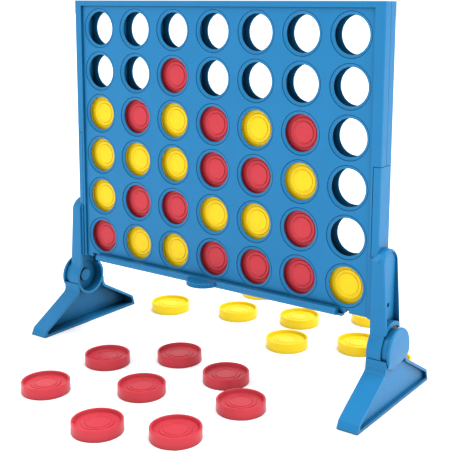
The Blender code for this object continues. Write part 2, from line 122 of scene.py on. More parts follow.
# Legs
HUB_Z = 37.7
LEG_INNER_X = 128.8
SLEEVE_BOTTOM = 96.8
SLEEVE_LIP_X = 127.0
POST_HALF_DEPTH = 10.4
POST_TOP_X = 137.3
POST_TAPER = 0.068
ARCH_SPRING_Z = 95.3
ARCH_RISE = 7.8
TRAY_FLOOR_X = 136.2
TRAY_RIM = 1.8
POCKET_FLOOR_X = 134.9
POCKET_TOP = 92.0
POCKET_HALF_DEPTH = 8.4
WEDGE_HALF_DEPTH = 12.0
SHOULDER_RISE = 2.4
WINDOW_HALF = 1.3
WINDOW_HEIGHT = (65.0, 67.6)
DRUM_RADIUS = 14.3
DRUM_OUTER_X = 138.7
DRUM_WEB_X = 136.7
DRUM_WALL = 2.0
PIN_BORE = 3.3
PIN_RADIUS = 3.0
PIN_HEAD_RADIUS = 5.0
PIN_HEAD_X = 134.6
PIN_NECK_X = 136.4
PIN_TIP_X = 142.5
HUB_RADIUS = 15.0
HUB_NECK_RADIUS = 12.9
HUB_NECK_X = 143.2
SADDLE_RADIUS = 15.4
COLLAR_RADIUS = 18.2
HUB_FACE_X = 145.5
FOOT_OUTER_X = 143.4
FOOT_WEB_INNER_X = 139.1
FOOT_WEB_OUTER_X = 141.1
FOOT_WALL = 2.0
FOOT_OUTLINE = ((51.4, 0.0), (48.8, 8.2), (14.6, 27.6), (14.6, 34.0),
                (-14.6, 34.0), (-14.6, 27.0), (-48.0, 5.8), (-51.0, 0.0))
FOOT_RADII = (0.8, 3.2, 6.5, 0.3, 0.3, 4.5, 2.2, 0.8)
FOOT_INNER_RADII = (1.0, 2.0, 6.0, 0, 0, 4.0, 1.2, 1.0)
OVERRUN = 5.0
HAIRLINE = 0.07
CLEAR = 0.03

# Discs
DISC_RADIUS = 15.95
DISC_HALF_THICKNESS = 3.8
DISC_STEPS = 96

# Plastics, as linear colours: the plain colour, then the one in the flow marks
BLUE = ((0.011, 0.188, 0.425), (0.009, 0.174, 0.398))
RED = ((0.61, 0.045, 0.064), (0.57, 0.038, 0.056))
YELLOW = ((0.91, 0.66, 0.010), (0.89, 0.63, 0.008))
# Reach of the painted shade, in metres: in deep hollows, then in narrow creases
PAINTED_SHADE_HOLLOW_REACH = 0.030
PAINTED_SHADE_CREASE_REACH = 0.0035

RECORD = frame["record"]
BODY_OF = {node: body for body, nodes in RECORD["behaviour"]["bodies"].items() for node in nodes}
SLOT_OF = {part["node"]: part["material_slot"] for part in RECORD["subparts"]}


# ---------------------------------------------------------------- materials

def link(tree, source, output, target, socket):
    tree.links.new(source.outputs[output], target.inputs[socket])


def moulded_plastic(name, colors, roughness, shade, crease_shade, subsurface=0.0):
    """Injection-moulded plastic: faint flow marks in the colour, satin roughness and a fine grain.

    Painted shade: ambient occlusion darkens the colour to the shade fraction in deep hollows and to the
    crease fraction in narrow creases.
    """
    color, dark = colors
    material = bpy.data.materials.new(name)
    material.use_nodes = True
    tree = material.node_tree
    shader = tree.nodes["Principled BSDF"]
    place = tree.nodes.new("ShaderNodeTexCoord")
    flow = tree.nodes.new("ShaderNodeTexNoise")
    flow.inputs["Scale"].default_value = 38.0
    flow.inputs["Detail"].default_value = 3.0
    flow.inputs["Roughness"].default_value = 0.55
    flow.inputs["Distortion"].default_value = 0.6
    link(tree, place, "Object", flow, "Vector")
    tint = tree.nodes.new("ShaderNodeValToRGB")
    tint.color_ramp.elements[0].position = 0.25
    tint.color_ramp.elements[0].color = (*dark, 1.0)
    tint.color_ramp.elements[1].position = 0.75
    tint.color_ramp.elements[1].color = (*color, 1.0)
    link(tree, flow, "Fac", tint, "Fac")
    # Painted shade: two ambient occlusion reaches darken the base colour in hollows and in narrow creases
    hollow = tree.nodes.new("ShaderNodeAmbientOcclusion")
    hollow.samples = 8
    hollow.inputs["Distance"].default_value = PAINTED_SHADE_HOLLOW_REACH
    depth = tree.nodes.new("ShaderNodeMapRange")
    depth.inputs["From Min"].default_value = 0.10
    depth.inputs["From Max"].default_value = 0.72
    depth.inputs["To Min"].default_value = shade
    link(tree, hollow, "AO", depth, "Value")
    narrow_shade_ao = tree.nodes.new("ShaderNodeAmbientOcclusion")
    narrow_shade_ao.samples = 6
    narrow_shade_ao.inputs["Distance"].default_value = PAINTED_SHADE_CREASE_REACH
    edge_shade = tree.nodes.new("ShaderNodeMapRange")
    edge_shade.inputs["From Min"].default_value = 0.30
    edge_shade.inputs["From Max"].default_value = 0.85
    edge_shade.inputs["To Min"].default_value = crease_shade
    link(tree, narrow_shade_ao, "AO", edge_shade, "Value")
    painted_shade = tree.nodes.new("ShaderNodeMath")
    painted_shade.operation = "MULTIPLY"
    tree.links.new(depth.outputs["Result"], painted_shade.inputs[0])
    tree.links.new(edge_shade.outputs["Result"], painted_shade.inputs[1])
    shading = tree.nodes.new("ShaderNodeMix")
    shading.data_type = "RGBA"
    shading.blend_type = "MULTIPLY"
    shading.inputs["Factor"].default_value = 1.0
    tree.links.new(tint.outputs["Color"], shading.inputs[6])
    tree.links.new(painted_shade.outputs["Value"], shading.inputs[7])
    tree.links.new(shading.outputs[2], shader.inputs["Base Color"])
    wear = tree.nodes.new("ShaderNodeTexNoise")
    wear.inputs["Scale"].default_value = 160.0
    wear.inputs["Detail"].default_value = 4.0
    link(tree, place, "Object", wear, "Vector")
    gloss = tree.nodes.new("ShaderNodeMapRange")
    gloss.inputs["To Min"].default_value = roughness - 0.05
    gloss.inputs["To Max"].default_value = roughness + 0.07
    link(tree, wear, "Fac", gloss, "Value")
    link(tree, gloss, "Result", shader, "Roughness")
    grain = tree.nodes.new("ShaderNodeTexNoise")
    grain.inputs["Scale"].default_value = 2600.0
    grain.inputs["Detail"].default_value = 2.0
    link(tree, place, "Object", grain, "Vector")
    swell = tree.nodes.new("ShaderNodeTexNoise")
    swell.inputs["Scale"].default_value = 90.0
    swell.inputs["Detail"].default_value = 1.0
    link(tree, place, "Object", swell, "Vector")
    fine = tree.nodes.new("ShaderNodeBump")
    fine.inputs["Strength"].default_value = 0.10
    fine.inputs["Distance"].default_value = 0.00004
    link(tree, grain, "Fac", fine, "Height")
    broad = tree.nodes.new("ShaderNodeBump")
    broad.inputs["Strength"].default_value = 0.12
    broad.inputs["Distance"].default_value = 0.0004
    link(tree, swell, "Fac", broad, "Height")
    link(tree, fine, "Normal", broad, "Normal")
    link(tree, broad, "Normal", shader, "Normal")
    shader.inputs["IOR"].default_value = 1.46
    shader.inputs["Specular IOR Level"].default_value = 0.22
    if subsurface:
        shader.inputs["Subsurface Weight"].default_value = subsurface
        shader.inputs["Subsurface Scale"].default_value = 0.004
        shader.inputs["Subsurface Radius"].default_value = (1.0, 0.5, 0.2)
    return material


# Per material: roughness, then the painted shade left in deep hollows and in narrow creases, then subsurface
# weight
PLASTIC = {
    "front_shell_plastic": moulded_plastic("blue_shell", BLUE, 0.38, 0.10, 0.45),
    "release_bar_plastic": moulded_plastic("blue_bar", BLUE, 0.34, 0.10, 0.50),
    "leg_plastic": moulded_plastic("blue_leg", BLUE, 0.36, 0.08, 0.80),
    "red_disc_plastic": moulded_plastic("red_disc", RED, 0.30, 0.35, 0.60, 0.12),
    "yellow_disc_plastic": moulded_plastic("yellow_disc", YELLOW, 0.30, 0.70, 0.70, 0.15),
}
PLASTIC["rear_shell_plastic"] = PLASTIC["front_shell_plastic"]
PLASTIC["foot_plastic"] = PLASTIC["leg_plastic"]
PLASTIC["pin_plastic"] = PLASTIC["leg_plastic"]


# ---------------------------------------------------------------- mesh tools, in millimetres

def to_object(name, bm, sharp=32.0):
    """Turns a bmesh into an object, still in millimetres; adopt() brings it to metres."""
    bmesh.ops.recalc_face_normals(bm, faces=bm.faces)
    mesh = bpy.data.meshes.new(name)
    bm.to_mesh(mesh)
    bm.free()
    mesh.shade_smooth()
    mesh.set_sharp_from_angle(angle=radians(sharp))
    item = bpy.data.objects.new(name, mesh)
    bpy.context.scene.collection.objects.link(item)
    return item


def place_point(plane, u, v, w):
    """Outline coordinates u, v and depth w to X, Y, Z."""
    if plane == "XY":
        return (u, v, w)
    if plane == "XZ":
        return (u, w, v)
    return (w, u, v)


def prism(plane, outline, start, end, bevels=()):
    """A flat outline given thickness.

    bevels are (test, width, segments), where test reads the two ends of an edge.
    """
    bm = bmesh.new()
    base = [bm.verts.new(place_point(plane, u, v, start)) for u, v in outline]
    face = bm.faces.new(base)
    grown = bmesh.ops.extrude_face_region(bm, geom=[face])["geom"]
    moved = [item for item in grown if isinstance(item, bmesh.types.BMVert)]
    bmesh.ops.translate(bm, vec=place_point(plane, 0.0, 0.0, end - start), verts=moved)
    bmesh.ops.recalc_face_normals(bm, faces=bm.faces)
    for test, width, segments in bevels:
        bevel(bm, test, width, segments)
    return bm


def block(x, y, z, width=0.0, segments=2):
    bm = bmesh.new()
    bmesh.ops.create_cube(bm, size=1.0)
    size = Vector([abs(pair[1] - pair[0]) for pair in (x, y, z)])
    centre = Vector([(pair[1] + pair[0]) / 2 for pair in (x, y, z)])
    bmesh.ops.scale(bm, vec=size, verts=bm.verts)
    bmesh.ops.translate(bm, vec=centre, verts=bm.verts)
    if width:
        bevel(bm, lambda a, b: True, width, segments)
    return bm


def bevel(bm, test, width, segments):
    edges = [edge for edge in bm.edges if test(edge.verts[0].co, edge.verts[1].co)]
    bmesh.ops.bevel(bm, geom=edges, offset=width, offset_type="OFFSET", segments=segments, profile=0.5,
                    affect="EDGES", clamp_overlap=True)


def turned(profile, steps, axis="Z", centre=(0.0, 0.0, 0.0)):
    """A closed turned body from a profile of (radius, height) that starts and ends on the axis."""
    bm = bmesh.new()
    rings = []
    for radius, height in profile:
        if radius == 0:
            rings.append([bm.verts.new((0.0, 0.0, height))])
        else:
            rings.append([bm.verts.new((radius * cos(2 * pi * k / steps), radius * sin(2 * pi * k / steps),
                                        height)) for k in range(steps)])
    for lower, upper in zip(rings, rings[1:]):
        for k in range(steps):
            following = (k + 1) % steps
            corners = [lower[k % len(lower)], lower[following % len(lower)], upper[following % len(upper)],
                       upper[k % len(upper)]]
            bm.faces.new(list(dict.fromkeys(corners)))
    if axis == "X":
        bmesh.ops.rotate(bm, cent=(0, 0, 0), matrix=Matrix.Rotation(pi / 2, 3, "Y"), verts=bm.verts)
    if axis == "Y":
        bmesh.ops.rotate(bm, cent=(0, 0, 0), matrix=Matrix.Rotation(pi / 2, 3, "X"), verts=bm.verts)
    bmesh.ops.translate(bm, vec=centre, verts=bm.verts)
    return bm


def drum(radius, start, end, steps=96, edge=0.0):
    """A cylinder along X on the hub's axis, with rounded ends when edge is given."""
    low, high = min(start, end), max(start, end)
    if edge:
        profile = [(0.0, low), (radius - edge, low), (radius - edge * 0.3, low + edge * 0.3),
                   (radius, low + edge), (radius, high - edge), (radius - edge * 0.3, high - edge * 0.3),
                   (radius - edge, high), (0.0, high)]
    else:
        profile = [(0.0, low), (radius, low), (radius, high), (0.0, high)]
    return turned(profile, steps, "X", (0.0, 0.0, HUB_Z))


def combine(name, base, steps, sharp=32.0):
    """Boolean steps on a base; each step is ('UNION' | 'DIFFERENCE' | 'INTERSECT', bmesh)."""
    target = to_object(name, base)
    for operation, other in steps:
        tool = to_object("tool", other)
        modifier = target.modifiers.new("step", "BOOLEAN")
        modifier.operation = operation
        modifier.solver = "EXACT"
        modifier.object = tool
        apply_modifiers(target)
        settle(target)
        bpy.data.objects.remove(tool)
    target.data.shade_smooth()
    target.data.set_sharp_from_angle(angle=radians(sharp))
    return target


def apply_modifiers(item):
    bpy.context.view_layer.update()
    mesh = bpy.data.meshes.new_from_object(item.evaluated_get(bpy.context.evaluated_depsgraph_get()))
    item.modifiers.clear()
    item.data = mesh


def settle(item):
    """Keeps the result of a Boolean step exact: no tiny edges and no bent many-sided faces."""
    bm = bmesh.new()
    bm.from_mesh(item.data)
    bmesh.ops.remove_doubles(bm, verts=bm.verts, dist=1e-4)
    bmesh.ops.dissolve_degenerate(bm, edges=bm.edges, dist=1e-4)
    bmesh.ops.triangulate(bm, faces=[face for face in bm.faces if len(face.verts) > 4])
    bm.to_mesh(item.data)
    bm.free()


def lift(item):
    """Takes a combined object back to a bmesh, with flat neighbouring faces merged."""
    bm = bmesh.new()
    bm.from_mesh(item.data)
    bpy.data.objects.remove(item)
    bmesh.ops.remove_doubles(bm, verts=bm.verts, dist=1e-3)
    bmesh.ops.dissolve_limit(bm, angle_limit=radians(0.5), verts=bm.verts, edges=bm.edges)
    return bm


def adopt(item, node):
    """The finished piece takes the place, body, slot and material of its CAD node."""
    item.data.transform(Matrix.Scale(MM, 4))
    weighting = item.modifiers.new("normals", "WEIGHTED_NORMAL")
    weighting.keep_sharp = True
    apply_modifiers(item)
    item.data.materials.clear()
    item.data.materials.append(PLASTIC[SLOT_OF[node]])
    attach(item, BODY_OF[node])
    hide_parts(node)


def arc(centre, radius, start, end, steps):
    """Points on an arc between two angles in degrees, ends included."""
    angles = [radians(start + (end - start) * step / steps) for step in range(steps + 1)]
    return [(centre[0] + radius * cos(angle), centre[1] + radius * sin(angle)) for angle in angles]


def rounded(points, radii, segments=6):
    """A closed outline whose corners are replaced by arcs of the given radii (0 keeps a corner)."""
    result = []
    for index, (corner, radius) in enumerate(zip(points, radii)):
        if radius == 0:
            result.append(tuple(corner))
            continue
        here = Vector(corner)
        before = (Vector(points[index - 1]) - here).normalized()
        after = (Vector(points[(index + 1) % len(points)]) - here).normalized()
        half = before.angle(after) / 2
        centre = here + (before + after).normalized() * (radius / sin(half))
        first = here + before * (radius / tan(half)) - centre
        last = here + after * (radius / tan(half)) - centre
        sweep = atan2(first.x * last.y - first.y * last.x, first.dot(last))
        for step in range(segments + 1):
            result.append(tuple(centre + Matrix.Rotation(sweep * step / segments, 2) @ first))
    return result


def inset(points, distance):
    """A counter-clockwise outline moved inwards by the same distance on every edge."""
    result = []
    for index, point in enumerate(points):
        here = Vector(point)
        before = (here - Vector(points[index - 1])).normalized()
        after = (Vector(points[(index + 1) % len(points)]) - here).normalized()
        normal_a = Vector((-before.y, before.x))
        normal_b = Vector((-after.y, after.x))
        result.append(tuple(here + (normal_a + normal_b) * (distance / (1 + normal_a.dot(normal_b)))))
    return result


def arch_outline(half_width, spring_z, rise, bottom_z, steps=28):
    """Straight sides up to the spring line and a segmental arch above it."""
    radius = (half_width ** 2 + rise ** 2) / (2 * rise)
    centre_z = spring_z + rise - radius
    reach = asin(min(1.0, half_width / radius))
    points = [(-half_width, bottom_z), (half_width, bottom_z)]
    for step in range(steps + 1):
        angle = reach - 2 * reach * step / steps
        points.append((radius * sin(angle), centre_z + radius * cos(angle)))
    return points


# ---------------------------------------------------------------- grid shells

def cell_angles():
    """Directions round a cell, the same in each quadrant and passing through the cell's corners."""
    corner = atan2(ROW_PITCH, COLUMN_PITCH)
    quadrant = [corner * step / CELL_STEPS for step in range(CELL_STEPS)]
    quadrant += [corner + (pi / 2 - corner) * step / CELL_STEPS for step in range(CELL_STEPS)]
    first = quadrant + [pi / 2]
    second = [pi - angle for angle in reversed(first[:-1])]
    upper = first + second
    lower = [angle + pi for angle in upper[1:-1]]
    return upper + lower


def cell_edge(angle):
    """Where a direction from the cell's centre meets the cell's rectangle."""
    x, z = cos(angle), sin(angle)
    across = COLUMN_PITCH / 2 / abs(x) if abs(x) > 1e-9 else inf
    upward = ROW_PITCH / 2 / abs(z) if abs(z) > 1e-9 else inf
    reach = min(across, upward)
    return x * reach, z * reach


def pierced_panel(facing):
    """The panel with its holes: each has a shallow dished ring on the outer side."""
    rings = [(None, PANEL_OUTER_Y)]
    rings += [(RING_RADIUS + out, PANEL_OUTER_Y - deep) for out, deep in RING_GROOVE]
    rings += [(HOLE_RADIUS + out, PANEL_OUTER_Y - deep) for out, deep in HOLE_LIP]
    rings += [(HOLE_RADIUS, PANEL_INNER_Y + 0.2), (HOLE_RADIUS + 0.15, PANEL_INNER_Y), (None, PANEL_INNER_Y)]
    angles = cell_angles()
    bm = bmesh.new()
    for column in range(COLUMNS):
        for row in range(ROWS):
            cx = (column - (COLUMNS - 1) / 2) * COLUMN_PITCH
            cz = MATRIX_CENTRE_Z + (row - (ROWS - 1) / 2) * ROW_PITCH
            loops = []
            for radius, depth in rings:
                loop = []
                for angle in angles:
                    x, z = cell_edge(angle) if radius is None else (radius * cos(angle), radius * sin(angle))
                    loop.append(bm.verts.new((cx + x, facing * depth, cz + z)))
                loops.append(loop)
            for outer, inner in zip(loops, loops[1:]):
                for k in range(len(angles)):
                    following = (k + 1) % len(angles)
                    bm.faces.new((outer[k], outer[following], inner[following], inner[k]))
    bmesh.ops.remove_doubles(bm, verts=bm.verts, dist=1e-4)
    low = MATRIX_CENTRE_Z - ROWS / 2 * ROW_PITCH
    high = MATRIX_CENTRE_Z + ROWS / 2 * ROW_PITCH
    for vert in bm.verts:
        if abs(vert.co.z - low) < 1e-3:
            vert.co.z = GRID_BOTTOM + STEP_ABOVE
        if abs(vert.co.z - high) < 1e-3:
            vert.co.z = GRID_TOP - 0.6
    rim = [edge for edge in bm.edges if len(edge.link_faces) == 1]
    bmesh.ops.bridge_loops(bm, edges=rim)
    return bm


def border(facing):
    """The raised border above the seam: two side pieces and a top bar, rounded on the outside."""
    x, low, high = GRID_HALF_WIDTH, SEAM_Z, GRID_TOP
    outline = [(-x, low), (-BORDER_INNER_X, low), (-BORDER_INNER_X, high - BORDER_TOP_WIDTH),
               (BORDER_INNER_X, high - BORDER_TOP_WIDTH), (BORDER_INNER_X, low), (x, low), (x, high),
               (-x, high)]
    outer_y = facing * GRID_HALF_DEPTH

    def outer_corner(a, b):
        return abs(a.x - b.x) < 1e-4 and abs(abs(a.x) - x) < 1e-4 and abs(a.y - outer_y) < 1e-4 \
            and abs(b.y - outer_y) < 1e-4

    bm = prism("XZ", outline, facing * PARTING, outer_y, [(outer_corner, CORNER_RADIUS, 6)])

    def crisp(a, b):
        flat = abs(a.y - outer_y) < 1e-4 and abs(b.y - outer_y) < 1e-4
        top = abs(a.z - high) < 1e-4 and abs(b.z - high) < 1e-4
        return flat or top and abs(a.x) < x + 1 and abs(a.y - b.y) < 1e-4

    bevel(bm, crisp, BORDER_EDGE, 3)
    return bm


def leg_side(facing):
    """Below the seam each side keeps a narrow strip of border and a tongue for the leg's sleeve."""
    pieces = []
    for end in (-1, 1):
        inner_y = PARTING + STEP_ABOVE
        outer_y = GRID_HALF_DEPTH - STEP_ABOVE
        section = [(BORDER_INNER_X, inner_y), (TONGUE_OUTER_X, inner_y),
                   (TONGUE_OUTER_X, TONGUE_HALF_DEPTH), (STRIP_OUTER_X, TONGUE_HALF_DEPTH),
                   (STRIP_OUTER_X, outer_y), (BORDER_INNER_X + BORDER_EDGE, outer_y),
                   (BORDER_INNER_X + 0.12, GRID_HALF_DEPTH - 0.2), (BORDER_INNER_X, GRID_HALF_DEPTH - 0.5)]
        outline = [(end * u, facing * v) for u, v in section]
        pieces.append(("UNION", prism("XY", outline, GRID_BOTTOM + 0.1, SEAM_Z + 2.0)))
    return pieces


def shell(name, facing):
    steps = [("DIFFERENCE", block((-BORDER_INNER_X, BORDER_INNER_X), (-1.0, facing * PANEL_INNER_Y),
                                  (GRID_TOP - 20.0, GRID_TOP + OVERRUN)))]
    steps += leg_side(facing)
    steps.append(("UNION", pierced_panel(facing)))
    if facing > 0:
        for divider in range(1, COLUMNS):
            x = (divider - COLUMNS / 2) * COLUMN_PITCH
            steps.append(("UNION", block((x - RIB_HALF_WIDTH, x + RIB_HALF_WIDTH),
                                         (GAP - PANEL_INNER_Y, PANEL_INNER_Y + 0.8), (RIB_BOTTOM, RIB_TOP))))
        inside_y = GRID_HALF_DEPTH - 0.4
        for x in KEEPER_XS:
            width = (x - KEEPER_HALF_WIDTH, x + KEEPER_HALF_WIDTH)
            inner_width = (width[0] + 0.1, width[1] - 0.1)
            wall_y = (PANEL_OUTER_Y + GAP, GRID_HALF_DEPTH)
            shelf = (KEEPER_HEIGHT[0] + 0.1, RAIL_BOTTOM - GAP)
            steps.append(("UNION", block(width, wall_y, KEEPER_HEIGHT, 0.3)))
            steps.append(("UNION", block(inner_width, (PANEL_INNER_Y + 1.0, inside_y), KEEPER_ROOT)))
            steps.append(("UNION", block(inner_width, (RAIL_INNER_Y, inside_y), shelf)))
    nub_room = (BORDER_INNER_X - 1.0, STRIP_OUTER_X + GAP)
    steps.append(("DIFFERENCE", block(nub_room, (-facing, facing * PANEL_INNER_Y),
                                      (GRID_BOTTOM - OVERRUN, NUB_TOP + GAP))))
    for notch in PANEL_NOTCHES:
        steps.append(("DIFFERENCE", block(notch, (facing * 3.0, facing * (PANEL_OUTER_Y + 1.0)),
                                          (GRID_BOTTOM - OVERRUN, GRID_BOTTOM + NOTCH_HEIGHT))))
    item = combine(name, border(facing), steps)
    adopt(item, name)


# ---------------------------------------------------------------- release bar

def ledge():
    """The long ledge, with a chamfer along its front top edge."""
    section = [(LEDGE_FRONT_Y, LEDGE_BOTTOM + 0.4), (LEDGE_FRONT_Y + 0.4, LEDGE_BOTTOM),
               (LEDGE_BACK_Y, LEDGE_BOTTOM), (LEDGE_BACK_Y, LEDGE_TOP), (LEDGE_FRONT_Y + 1.5, LEDGE_TOP),
               (LEDGE_FRONT_Y + 1.2, LEDGE_TOP - 0.1), (LEDGE_FRONT_Y + 0.1, LEDGE_TOP - 1.2),
               (LEDGE_FRONT_Y, LEDGE_TOP - 1.5)]
    return prism("YZ", section, *BAR_ENDS)


def finger_tab():
    """Half-round tab whose wall is knurled with upright ribs."""
    outline = []
    for step in range(KNURL_STEPS + 1):
        angle = pi + pi * step / KNURL_STEPS
        wave = abs(sin(KNURLS * angle / 2))
        radius = TAB_RADIUS - KNURL_DEPTH * (1 - wave)
        outline.append((TAB_X + radius * cos(angle), TAB_CENTRE_Y + radius * sin(angle)))
    outline.append((TAB_X + TAB_RADIUS - 0.5, LEDGE_BACK_Y - 0.6))
    outline.append((TAB_X - TAB_RADIUS + 0.5, LEDGE_BACK_Y - 0.6))
    return prism("XY", outline, LEDGE_BOTTOM + 0.15, LEDGE_TOP - 0.8)


def tab_cap():
    """The tab's smooth top plate, with a rounded edge over the knurls."""
    outline = arc((TAB_X, TAB_CENTRE_Y), TAB_RADIUS, 180, 360, 64)
    outline.append((TAB_X + TAB_RADIUS, LEDGE_BACK_Y - 0.5))
    outline.append((TAB_X - TAB_RADIUS, LEDGE_BACK_Y - 0.5))
    top = LEDGE_TOP - 0.3

    def upper_rim(a, b):
        return abs(a.z - top) < 1e-4 and abs(b.z - top) < 1e-4

    return prism("XY", outline, LEDGE_TOP - 1.2, top, [(upper_rim, 0.4, 3)])


def release_bar():
    steps = [("UNION", finger_tab()), ("UNION", tab_cap()),
             ("DIFFERENCE", turned([(0, 60.1), (0.55, 60.1), (0.6, 64.0), (0, 64.0)], 24, "Z",
                                   (*DIMPLE_PLACE, 0.0))),
             ("UNION", block((BAR_ENDS[0] + 1.0, BAR_ENDS[1] - 1.0), (-8.8, LEDGE_BACK_Y - 0.1),
                             (RAIL_BOTTOM, LEDGE_BOTTOM + 2.0))),
             ("UNION", block(RAIL_ENDS, (-8.3, -RAIL_INNER_Y), (RAIL_BOTTOM + 0.1, RAIL_TOP)))]
    for column in range(COLUMNS):
        x = (column - (COLUMNS - 1) / 2) * COLUMN_PITCH + PIN_OFFSET
        width = (x - PIN_WIDTH / 2, x + PIN_WIDTH / 2)
        steps.append(("UNION", block(width, (-RAIL_INNER_Y - 1.0, RAIL_INNER_Y + 1.0),
                                     (RAIL_BOTTOM + 0.2, RAIL_TOP - 0.1))))
        steps.append(("UNION", block(width, (-3.8, 3.8), (RAIL_BOTTOM + 0.8, NUB_TOP), 0.3)))
    steps.append(("UNION", block(RAIL_ENDS, (RAIL_INNER_Y, PANEL_OUTER_Y), (RAIL_BOTTOM, RAIL_TOP))))
    item = combine("release_bar", ledge(), steps)
    adopt(item, "release_bar")


# ---------------------------------------------------------------- legs

def post_block(end, taper_x):
    """The arched outer block of a leg, wider towards the hub."""
    return prism("YZ", arch_outline(POST_HALF_DEPTH, ARCH_SPRING_Z, ARCH_RISE, HUB_Z),
                 end * (GRID_HALF_WIDTH - 1.0), end * (taper_x + OVERRUN))


def leg_post(side, end):
    taper_x = POST_TOP_X + POST_TAPER * (SLEEVE_BOTTOM - HUB_Z)
    rise_x = POST_TOP_X - POST_TAPER * 10.0
    wedge = [(end * LEG_INNER_X, HUB_Z - OVERRUN), (end * taper_x, HUB_Z), (end * POST_TOP_X, SLEEVE_BOTTOM),
             (end * rise_x, SLEEVE_BOTTOM + 10.0), (end * LEG_INNER_X, SLEEVE_BOTTOM + 10.0)]
    taper = prism("XZ", wedge, -WEDGE_HALF_DEPTH, WEDGE_HALF_DEPTH)
    bm = lift(combine("post_base", post_block(end, taper_x), [("INTERSECT", taper)]))

    def outer_rim(a, b):
        return min(abs(a.x), abs(b.x)) > GRID_HALF_WIDTH + 1.0 and abs(a.z - b.z) + abs(a.y - b.y) > 1e-3 \
            and min(a.z, b.z) > HUB_Z - 1.0 and not (abs(a.z - HUB_Z) < 0.1 and abs(b.z - HUB_Z) < 0.1)

    bevel(bm, outer_rim, 1.25, 5)

    shoulder = SLEEVE_BOTTOM + SHOULDER_RISE
    core_outline = [(-POST_HALF_DEPTH, HUB_Z), (POST_HALF_DEPTH, HUB_Z), (POST_HALF_DEPTH, SLEEVE_BOTTOM),
                    (GRID_HALF_DEPTH, shoulder), (-GRID_HALF_DEPTH, shoulder),
                    (-POST_HALF_DEPTH, SLEEVE_BOTTOM)]

    def inner_rim(a, b):
        return abs(abs(a.x) - LEG_INNER_X) < 1e-3 and abs(abs(b.x) - LEG_INNER_X) < 1e-3

    core = prism("YZ", core_outline, end * LEG_INNER_X, end * (GRID_HALF_WIDTH + 2.0), [(inner_rim, 0.6, 3)])
    lip = SLEEVE_LIP_X
    wall = [(lip, -GRID_HALF_DEPTH), (GRID_HALF_WIDTH, -GRID_HALF_DEPTH), (GRID_HALF_WIDTH, GRID_HALF_DEPTH),
            (lip, GRID_HALF_DEPTH)]
    sleeve_outline = rounded(wall, (0.3, CORNER_RADIUS, CORNER_RADIUS, 0.3))
    top = SEAM_Z - GAP

    def sleeve_top(a, b):
        return abs(a.z - top) < 1e-3 and abs(b.z - top) < 1e-3

    sleeve = prism("XY", [(end * u, v) for u, v in sleeve_outline], SLEEVE_BOTTOM - 1.0, top,
                   [(sleeve_top, 0.25, 2)])
    tray = prism("YZ", arch_outline(POST_HALF_DEPTH - TRAY_RIM, ARCH_SPRING_Z, ARCH_RISE - TRAY_RIM, HUB_Z),
                 end * TRAY_FLOOR_X, end * (taper_x + OVERRUN))
    collar = drum(COLLAR_RADIUS, end * (TRAY_FLOOR_X - 1.0), end * (taper_x + 2 * OVERRUN))
    tray_cut = lift(combine("tray", tray, [("DIFFERENCE", collar)]))
    far = HUB_FACE_X + OVERRUN
    near = SLEEVE_LIP_X - OVERRUN
    drum_end = FOOT_WEB_INNER_X - HAIRLINE
    tongue_y = TONGUE_HALF_DEPTH + GAP
    wall_y = POCKET_HALF_DEPTH + 0.4
    lip_width = (end * (SLEEVE_LIP_X + CLEAR), end * (LEG_INNER_X + 0.8))
    lip_height = (GRID_BOTTOM + 0.1, SLEEVE_BOTTOM + 1.0)
    lip_y = tongue_y + CLEAR
    steps = [
        ("UNION", core),
        ("UNION", sleeve),
        ("UNION", drum(DRUM_RADIUS, end * LEG_INNER_X, end * drum_end, 128, 0.1)),
        ("DIFFERENCE", drum(SADDLE_RADIUS, end * (drum_end - CLEAR), end * far, 128)),
        ("DIFFERENCE", tray_cut),
        ("DIFFERENCE", block((end * near, end * (TONGUE_OUTER_X + GAP)), (-tongue_y, tongue_y),
                             (GRID_BOTTOM - 2.0, SEAM_Z + OVERRUN))),
        ("DIFFERENCE", block((end * near, end * POCKET_FLOOR_X), (-POCKET_HALF_DEPTH, POCKET_HALF_DEPTH),
                             (HUB_Z, POCKET_TOP), 1.0, 3)),
        ("UNION", block(lip_width, (-wall_y, -lip_y), lip_height)),
        ("UNION", block(lip_width, (lip_y, wall_y), lip_height)),
        ("DIFFERENCE", drum(DRUM_RADIUS - DRUM_WALL, end * near, end * DRUM_WEB_X)),
        ("DIFFERENCE", block((end * (POCKET_FLOOR_X - 1.0), end * (TRAY_FLOOR_X + 1.0)),
                             (-WINDOW_HALF, WINDOW_HALF), WINDOW_HEIGHT)),
        ("DIFFERENCE", drum(PIN_BORE, end * (DRUM_WEB_X - 1.0), end * (DRUM_OUTER_X + OVERRUN), 48)),
    ]
    item = combine(side + "_leg_post", bm, steps)
    adopt(item, side + "_leg_post")


def hub_boss(end):
    """The hub's cover disc on a narrower neck; its face slopes back to the web at the bottom."""
    profile = [(0.0, FOOT_WEB_INNER_X), (HUB_NECK_RADIUS, FOOT_WEB_INNER_X), (HUB_NECK_RADIUS, HUB_NECK_X),
               (HUB_RADIUS - 0.5, HUB_NECK_X + 0.2), (HUB_RADIUS, HUB_NECK_X + 0.7),
               (HUB_RADIUS, HUB_FACE_X - 0.7), (HUB_RADIUS - 0.2, HUB_FACE_X - 0.2),
               (HUB_RADIUS - 0.7, HUB_FACE_X), (0.0, HUB_FACE_X)]
    disc = turned([(radius, end * reach) for radius, reach in profile], 128, "X", (0.0, 0.0, HUB_Z))
    slope_top = HUB_Z - 4.0
    far_x = HUB_FACE_X + OVERRUN
    foot_x = FOOT_WEB_OUTER_X + STEP_ABOVE
    slope = [(foot_x, HUB_Z - HUB_RADIUS - 0.5), (HUB_FACE_X + 0.01, slope_top), (far_x, slope_top),
             (far_x, HUB_Z - 20.0), (foot_x, HUB_Z - 20.0)]
    trim = prism("XZ", [(end * u, v) for u, v in slope], -20.0, 20.0)
    return lift(combine("hub", disc, [("DIFFERENCE", trim)]))


